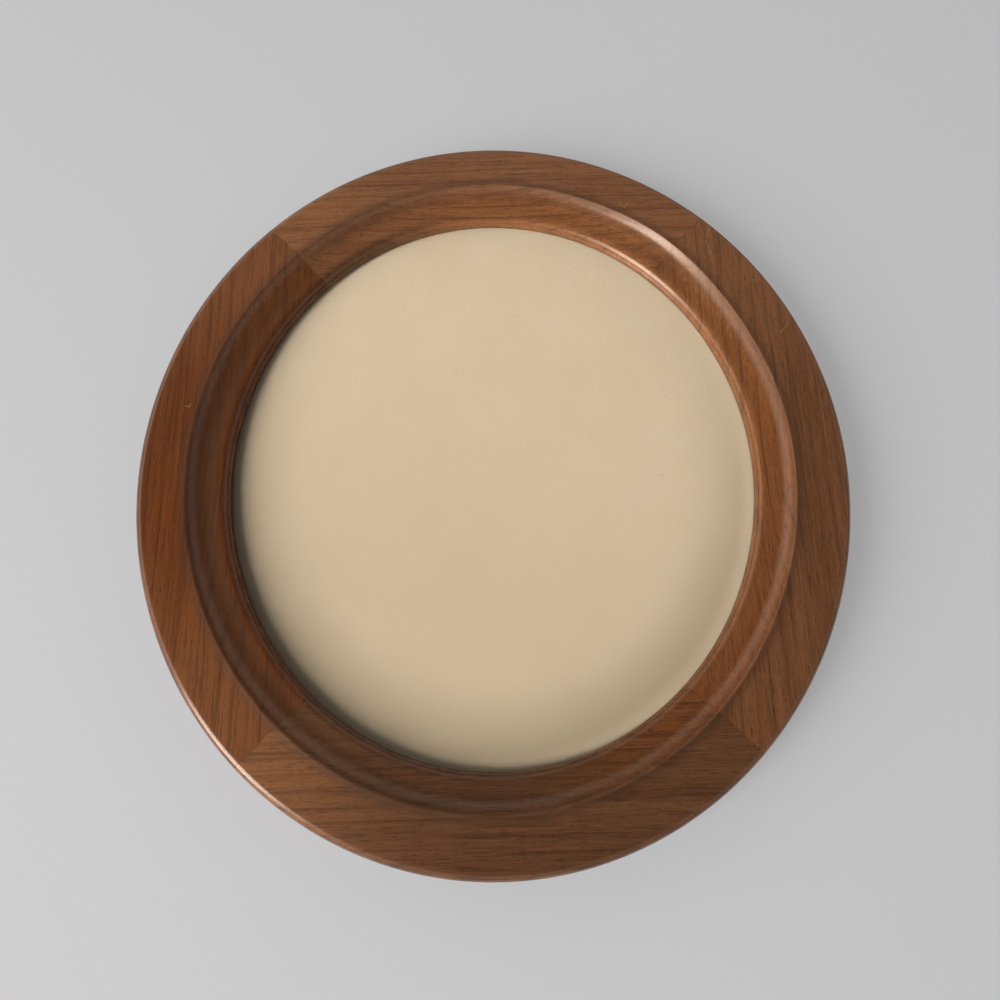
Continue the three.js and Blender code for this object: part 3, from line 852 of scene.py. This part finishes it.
def screw_piece(name, x, y, low, high, turn):
    """A wood screw with its point up: a domed head, a neck, a helical thread that is a triangle wave of the
    turn and the height, and a tapering point. The slot is cut across the head."""
    seat = low + head_height
    thread_start = seat + neck_length
    shaft = np.arange(thread_start, high - point_end, thread_pitch / 9)
    taper = np.clip((high - shaft) / point_length, 0, 1)
    profile = np.concatenate([
        arc(0, seat - head_rim, head_radius, head_height - head_rim, -90, 0, 14),
        arc(head_radius - rim_round, seat - rim_round, rim_round, rim_round, 0, 90, 4),
        np.array([[neck_radius, seat], [neck_radius, thread_start - neck_taper]]),
        np.stack([core_radius * taper, shaft], axis=1),
        np.array([[0, high]]),
    ])

    def thread(angle, height):
        """Thread height above the core: a sharp ridge once in each pitch, moved on by the turn."""
        phase = (height - thread_start) / thread_pitch - angle / (2 * math.pi)
        ridge = np.clip(1 - thread_sharpness * np.abs(phase - np.floor(phase) - 0.5), 0, 1)
        lead = np.clip((height - thread_start) / thread_lead, 0, 1)
        run_out = np.clip((high - height) / point_length, 0, 1)
        return (neck_radius - core_radius) * ridge * lead * run_out

    piece = turned_piece(name, profile, x, y, screw_sides, thread)
    bar, bar_normal = outline_of(rounded_box(4 * head_radius, slot_width, slot_corner / 2, 2))
    outline = placed(bar, turn, x, y)
    normal = placed(bar_normal, turn)
    carve(piece, [plate_piece("slot_cutter", outline, normal, low - slot_overrun, low + slot_depth, 0, 1)])
    return piece


screw_turns = {
    "turn_button_top_left_screw": 0.5,
    "turn_button_top_right_screw": 2.1,
    "turn_button_left_screw": 1.2,
    "turn_button_right_screw": 0.2,
    "turn_button_bottom_left_screw": 2.7,
    "turn_button_bottom_right_screw": 1.0,
    "hanger_screw_left": 0.35,
    "hanger_screw_right": 1.75,
}
screw_places = []
for node, turn in screw_turns.items():
    low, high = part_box(node)
    middle = (low + high) / 2
    screw = screw_piece("brass_" + node, middle.x, middle.y, low.z, high.z, turn)
    screw.data.materials.append(aged_brass("brass_" + node, -turn))
    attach(screw, "frame")
    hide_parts(node)
    screw_places.append((middle.x, middle.y, high.z))

# Hanger plate: a brass strap with round ends, screwed to the back of the top rail. A tongue of it is rolled
# into a barrel that holds the ring's bar.
strap_width = 0.011
strap_thickness = 0.0012
strap_edge = 0.0003
strap_hole = 0.0018
hole_reach = 0.02
barrel_length = 0.010
barrel_radius = 0.00255
barrel_wall = 0.001
barrel_edge = 0.00025
barrel_overlap = 0.0015
roll_end = -195


def bore_cutter(name, radius, depth, x, y, sides):
    """A round bar that stands on the level of the bumpers' feet, to bore a hole with."""
    return turned_piece(name, np.array([[0, 0], [radius, 0], [radius, depth], [0, depth]]), x, y, sides)


plate_low, plate_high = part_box("hanger_plate")
strap_middle = plate_low.y + strap_width / 2
strap_face = plate_high.z - strap_thickness
strap_length = plate_high.x - plate_low.x
strap_outline, strap_normal = outline_of(rounded_box(strap_length, strap_width, strap_width / 2, 24))
strap_outline = placed(strap_outline, 0, 0, strap_middle)
strap = plate_piece("hanger_strap", strap_outline, strap_normal, strap_face, plate_high.z, strap_edge)
hanger_screws = screw_places[-2:]
holes = [bore_cutter("hole_cutter", strap_hole, hole_reach, x, y, 40) for x, y, tip in hanger_screws]
carve(strap, holes)
strap.data.materials.append(aged_brass("brass_strap", 0.0))
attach(strap, "frame")
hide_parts("hanger_plate")


def barrel_piece(name, bar_y, bar_z):
    """The rolled tongue: a strip with rounded edges that runs on from the strap and round the ring's bar."""
    inner = barrel_radius - barrel_wall
    lead = np.linspace(strap_middle + strap_width / 2 - barrel_overlap, bar_y, 6)[:-1]
    roll = np.radians(np.linspace(90, roll_end, 90))
    along = np.concatenate([lead, bar_y + inner * np.cos(roll)])
    above = np.concatenate([lead * 0 + bar_z + inner, bar_z + inner * np.sin(roll)])
    facing_y = np.concatenate([lead * 0, np.cos(roll)])
    facing_z = np.concatenate([lead * 0 + 1, np.sin(roll)])
    strip = outline_of(rounded_box(barrel_length, barrel_wall, barrel_edge, 5), 4)[0]
    out = strip[None, :, 1] + barrel_wall / 2
    x = np.broadcast_to(strip[None, :, 0], (len(along), len(strip)))
    y = along[:, None] + out * facing_y[:, None]
    z = above[:, None] + out * facing_z[:, None]
    faces = [face[::-1] for face in bar_faces(len(along), len(strip))]
    return new_piece(name, np.stack([x, y, z], axis=-1), faces)


ring_pivot = pivots["ring"]
barrel = barrel_piece("hanger_barrel", ring_pivot[1], ring_pivot[2])
barrel.data.materials.append(aged_brass("brass_barrel", math.pi / 2))
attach(barrel, "frame")
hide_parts("hanger_plate")

# Hanger ring: brass wire bent to a U that a straight bar closes inside the barrel, where its ends meet.
# It swings on that bar and hangs on a hook in the wall.
ring_wire = 0.00125
ring_half = 0.009
ring_bow = 0.008
ring_corner = 0.003
wire_sides = 28


def ring_piece(name):
    """A round wire carried along a closed U: at each place a circle in the plane of the path's normal and
    the upright."""
    corner = ring_half - ring_corner
    arcs = [
        ((corner, ring_corner), ring_corner, -90, 0, 14),
        ((0, ring_bow), ring_half, 0, 180, 64),
        ((-corner, ring_corner), ring_corner, 180, 270, 14),
    ]
    path, normal = outline_of(arcs, 8)
    around = np.linspace(0, 2 * math.pi, wire_sides, endpoint=False)
    reach = ring_wire * np.cos(around)[None, :]
    x = ring_pivot[0] + path[:, :1] + reach * normal[:, :1]
    y = ring_pivot[1] + path[:, 1:] + reach * normal[:, 1:]
    z = np.broadcast_to(ring_pivot[2] + ring_wire * np.sin(around)[None, :], x.shape)
    faces = grid_faces(len(path), wire_sides, wrap_rows=True, wrap_columns=True)
    return new_piece(name, np.stack([x, y, z], axis=-1), faces)


ring = ring_piece("ring_wire")
ring.data.materials.append(aged_brass("brass_ring", 0.0))
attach(ring, "ring")
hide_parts("hanger_ring")

# Bumpers: four moulded rubber feet, stuck to the backs of the top and bottom rails. They have a rounded foot
# with a shallow dimple, and keep the hardware off the wall.
foot_radius = 0.005
foot_round = 0.0014
foot_flare = 0.0006
flank_height = 0.0052
flank_curve = 1.4
bumper_bevel = 0.0003
bumper_sides = 56
dimple_radius = 0.003
dimple_depth = 0.0004


def bumper_profile(wide, low, high):
    """A bumper's half section, from the middle of its foot to the middle of its back: a dimple that is a
    squared cosine, a rounded foot, a flank that flares as a power of the height, and a bevelled back."""
    dish = np.linspace(0, dimple_radius, 10)
    dimple = dimple_depth * np.cos(dish / dimple_radius * math.pi / 2) ** 2
    foot = foot_radius + foot_flare
    flank = np.linspace(0.25, 1, 10)
    return np.concatenate([
        np.stack([dish, low + dimple], axis=1),
        arc(foot - foot_round, low + foot_round, foot_round, foot_round, -90, -15, 9),
        np.stack([foot + (wide - foot) * flank ** flank_curve, low + flank_height * flank], axis=1),
        np.array([[wide, high - bumper_bevel], [wide - bumper_bevel, high], [0, high]]),
    ])


def rubber():
    """Matt black rubber with a fine grain and a little pale dust."""
    made, place = new_material("black_rubber")
    plain = in_millimetres(place)
    grain = noise(plain, (0.25, 0.25, 0.25), 2.0, 0.6)
    dust_and_painted_light = ramp(noise(plain, (2.2, 2.2, 2.2), 4.0, 0.65), 0.55, 0.75)
    colour = mix(grain, paint(30, 29, 28), paint(42, 41, 39))
    colour = mix(0.35 * dust_and_painted_light, colour, paint(96, 92, 86))
    surface(place, Base_Color=colour, Roughness=0.68 + 0.15 * dust_and_painted_light, Normal=bump(grain, 0.3, 0.00006))
    return made


black_rubber = rubber()
for corner in ("top_left", "top_right", "bottom_left", "bottom_right"):
    low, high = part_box("bumper_" + corner)
    middle = (low + high) / 2
    profile = bumper_profile((high.x - low.x) / 2, low.z, high.z)
    bumper = turned_piece("foot_" + corner, profile, middle.x, middle.y, bumper_sides)
    bumper.data.materials.append(black_rubber)
    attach(bumper, "frame")
    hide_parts("bumper_" + corner)

# Cuts in the rails: the slots that the tongues are glued into and the pilot holes of the screws.
# They are cut last, when the places of all the tongues and screws are known.
pilot_radius = 0.0018
pilot_gap = 0.0002
for side, rail in rail_pieces.items():
    rail_low, rail_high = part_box("rail_" + side)
    cutters = []
    for middle, turn, low, high in slot_cuts:
        if rail_low.x < middle.x < rail_high.x and rail_low.y < middle.y < rail_high.y:
            outline = placed(slot_outline, turn, middle.x, middle.y)
            normal = placed(slot_normal, turn)
            floor_of_slot, roof_of_slot = low - slot_gap, high + slot_gap
            cutters.append(plate_piece("slot_cutter", outline, normal, floor_of_slot, roof_of_slot, 0, 1))
    for x, y, tip in screw_places:
        if rail_low.x < x < rail_high.x and rail_low.y < y < rail_high.y:
            cutters.append(bore_cutter("pilot_cutter", pilot_radius, tip + pilot_gap, x, y, 24))
    carve(rail, cutters)

# Floor, light and camera: a plain pale floor, one tall soft lamp like a window at the left, and a room whose
# walls are brighter on that side. The floor adds a pale colour of its own for the camera, mirrors and glass.
# The camera stands above the lower half of the frame and looks down at it, tilted towards its top.
floor_half = 40.0
floor_glow = 0.5
lamp_width = 0.62
lamp_height = 1.4
lamp_watts = 29.5
lamp_azimuth = math.radians(212)
lamp_elevation = math.radians(32)
lamp_distance = 1.9
towards_left = (-0.992, -0.122, 0)
wall_dim = (0.07, 0.07, 0.07, 1.0)
wall_bright = (1.6, 1.6, 1.6, 1.0)
right_share = 0.3
camera_lens = 27.04
camera_place = (0.0032, -0.1251, 0.3988)
camera_turn = (15.83, 0.37, -1.5)

floor_corners = floor_half * np.array([[-1, -1, 0], [1, -1, 0], [1, 1, 0], [-1, 1, 0]])
floor = new_piece("floor", floor_corners, [[0, 1, 2, 3]])
floor_made, floor_place = new_material("floor_paper")
paper = floor_place.node("ShaderNodeBsdfDiffuse", inputs={"Color": paint(219, 219, 220)})
pale = floor_place.node("ShaderNodeEmission", inputs={"Color": paint(193, 193, 194)})
seen = floor_place.node("ShaderNodeLightPath", output="Is Camera Ray")
mirrored = floor_place.node("ShaderNodeLightPath", output="Is Glossy Ray")
through = floor_place.node("ShaderNodeLightPath", output="Is Transmission Ray")
shown = seen.math("MAXIMUM", seen, mirrored.math("MAXIMUM", mirrored, through))
both = floor_place.node("ShaderNodeMixShader", inputs={0: floor_glow * shown, 1: paper, 2: pale})
floor_place.node("ShaderNodeOutputMaterial", inputs={"Surface": both})
floor.data.materials.append(floor_made)

lamp = bpy.data.lights.new("window_lamp", "AREA")
lamp.shape = "RECTANGLE"
lamp.size = lamp_width
lamp.size_y = lamp_height
lamp.energy = lamp_watts
lamp_holder = bpy.data.objects.new("window_lamp", lamp)
bpy.context.scene.collection.objects.link(lamp_holder)
lamp_holder.location = (
    lamp_distance * math.cos(lamp_elevation) * math.cos(lamp_azimuth),
    lamp_distance * math.cos(lamp_elevation) * math.sin(lamp_azimuth),
    lamp_distance * math.sin(lamp_elevation),
)
lamp_holder.rotation_euler = (math.pi / 2 - lamp_elevation, 0, lamp_azimuth + math.pi / 2)

world = bpy.data.worlds.new("studio")
world.use_nodes = True
sky = Shade(world.node_tree).node("ShaderNodeTexCoord", output="Generated")
leftward = vector_math("DOT_PRODUCT", sky, towards_left, "Value")
upward = part(sky, "Z")
band = ramp(upward, 0.05, 0.4) * ramp(upward, 0.84, 0.58)
glow = band * (right_share + (1 - right_share) * ramp(leftward, 0.1, 0.85))
walls = mix(glow, wall_dim, wall_bright)
world.node_tree.links.new(walls.socket, world.node_tree.nodes["Background"].inputs["Color"])
bpy.context.scene.world = world
bpy.context.scene.view_settings.view_transform = "Standard"

camera = bpy.data.cameras.new("camera")
camera.lens = camera_lens
camera.sensor_width = 36
camera.clip_start = 0.01
camera_holder = bpy.data.objects.new("camera", camera)
bpy.context.scene.collection.objects.link(camera_holder)
camera_holder.location = camera_place
camera_holder.rotation_euler = [math.radians(degrees) for degrees in camera_turn]
bpy.context.scene.camera = camera_holder

# Bring the view layer up to date once more
bpy.context.view_layer.update()
